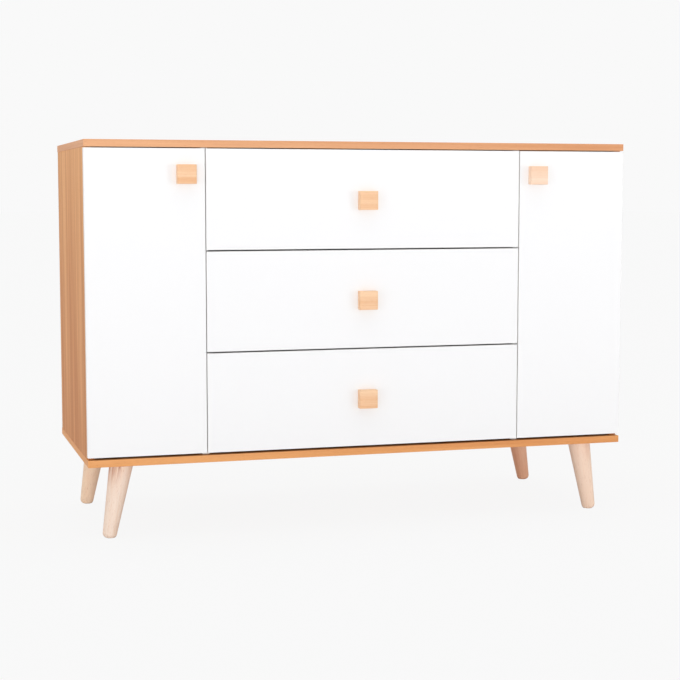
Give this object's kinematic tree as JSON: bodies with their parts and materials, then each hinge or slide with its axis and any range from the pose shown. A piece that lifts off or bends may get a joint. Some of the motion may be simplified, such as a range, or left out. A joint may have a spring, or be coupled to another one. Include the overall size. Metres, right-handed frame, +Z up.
{
  "type": "sideboard buffet",
  "caption": "Low wide sideboard on splayed turned legs: wood-effect box with hinged side doors, a central stack of sliding drawers and square block knobs.",
  "frame": {"origin": "centre of the floor rectangle under the whole object, knobs included, on the floor", "axes": "+X to the object's right as seen from the front, +Y towards the back, +Z up; the fronts face -Y"},
  "size_m": [1.2, 0.496, 0.83],
  "materials": {
    "wood_board": "satin beech-effect foil on board",
    "front_white": "smooth satin white melamine",
    "inner_white": "matt white melamine",
    "knob_wood": "sanded light beech, matt lacquer",
    "leg_wood": "sanded pale beech, matt lacquer",
    "steel": "bright zinc or nickel plate"
  },
  "bodies": {
    "cabinet": {"top_panel": "wood_board", "bottom_panel": "wood_board", "side_panel_left": "wood_board", "divider_left": "inner_white", "side_panel_right": "wood_board", "divider_right": "inner_white", "back_panel": "inner_white", "shelf_left": "inner_white", "shelf_right": "inner_white", "leg_front_left": "leg_wood", "leg_back_left": "leg_wood", "leg_front_right": "leg_wood", "leg_back_right": "leg_wood", "hinge_arm_lower_left": "steel", "hinge_arm_upper_left": "steel", "hinge_arm_lower_right": "steel", "hinge_arm_upper_right": "steel", "cabinet_rail_bottom_left": "steel", "cabinet_rail_bottom_right": "steel", "cabinet_rail_middle_left": "steel", "cabinet_rail_middle_right": "steel", "cabinet_rail_top_left": "steel", "cabinet_rail_top_right": "steel"},
    "hinge_links_left": {"hinge_link_lower_left": "steel", "hinge_link_upper_left": "steel"},
    "door_left": {"door_left": "front_white", "door_knob_left": "knob_wood", "hinge_cup_lower_left": "steel", "hinge_cup_upper_left": "steel"},
    "hinge_links_right": {"hinge_link_lower_right": "steel", "hinge_link_upper_right": "steel"},
    "door_right": {"door_right": "front_white", "door_knob_right": "knob_wood", "hinge_cup_lower_right": "steel", "hinge_cup_upper_right": "steel"},
    "drawer_bottom": {"drawer_front_bottom": "front_white", "drawer_knob_bottom": "knob_wood", "drawer_back_bottom": "inner_white", "drawer_bottom_bottom": "inner_white", "drawer_side_bottom_left": "inner_white", "drawer_side_bottom_right": "inner_white", "drawer_rail_bottom_left": "steel", "drawer_rail_bottom_right": "steel"},
    "drawer_middle": {"drawer_front_middle": "front_white", "drawer_knob_middle": "knob_wood", "drawer_back_middle": "inner_white", "drawer_bottom_middle": "inner_white", "drawer_side_middle_left": "inner_white", "drawer_side_middle_right": "inner_white", "drawer_rail_middle_left": "steel", "drawer_rail_middle_right": "steel"},
    "drawer_top": {"drawer_front_top": "front_white", "drawer_knob_top": "knob_wood", "drawer_back_top": "inner_white", "drawer_bottom_top": "inner_white", "drawer_side_top_left": "inner_white", "drawer_side_top_right": "inner_white", "drawer_rail_top_left": "steel", "drawer_rail_top_right": "steel"}
  },
  "joints": [
    {"name": "hinge_links_left_turn", "type": "hinge", "parent": "cabinet", "child": "hinge_links_left", "pos_m": [-0.5695, -0.21, 0.495], "axis": [0, 0, 1], "range_deg": [0, 42.1]},
    {"name": "door_left_swing", "type": "hinge", "parent": "hinge_links_left", "child": "door_left", "pos_m": [-0.5905, -0.221, 0.495], "axis": [0, 0, -1], "range_deg": [0, 142]},
    {"name": "hinge_links_right_turn", "type": "hinge", "parent": "cabinet", "child": "hinge_links_right", "pos_m": [0.5695, -0.21, 0.495], "axis": [0, 0, -1], "range_deg": [0, 42.1]},
    {"name": "door_right_swing", "type": "hinge", "parent": "hinge_links_right", "child": "door_right", "pos_m": [0.5905, -0.221, 0.495], "axis": [0, 0, 1], "range_deg": [0, 142]},
    {"name": "drawer_bottom_slide", "type": "slide", "parent": "cabinet", "child": "drawer_bottom", "axis": [0, -1, 0], "range_m": [0, 0.32]},
    {"name": "drawer_middle_slide", "type": "slide", "parent": "cabinet", "child": "drawer_middle", "axis": [0, -1, 0], "range_m": [0, 0.32]},
    {"name": "drawer_top_slide", "type": "slide", "parent": "cabinet", "child": "drawer_top", "axis": [0, -1, 0], "range_m": [0, 0.32]}
  ],
  "couplings": [
    {"joint": "hinge_links_left_turn", "follows": "door_left_swing", "ratio": 0.29578},
    {"joint": "hinge_links_right_turn", "follows": "door_right_swing", "ratio": 0.29578}
  ]
}
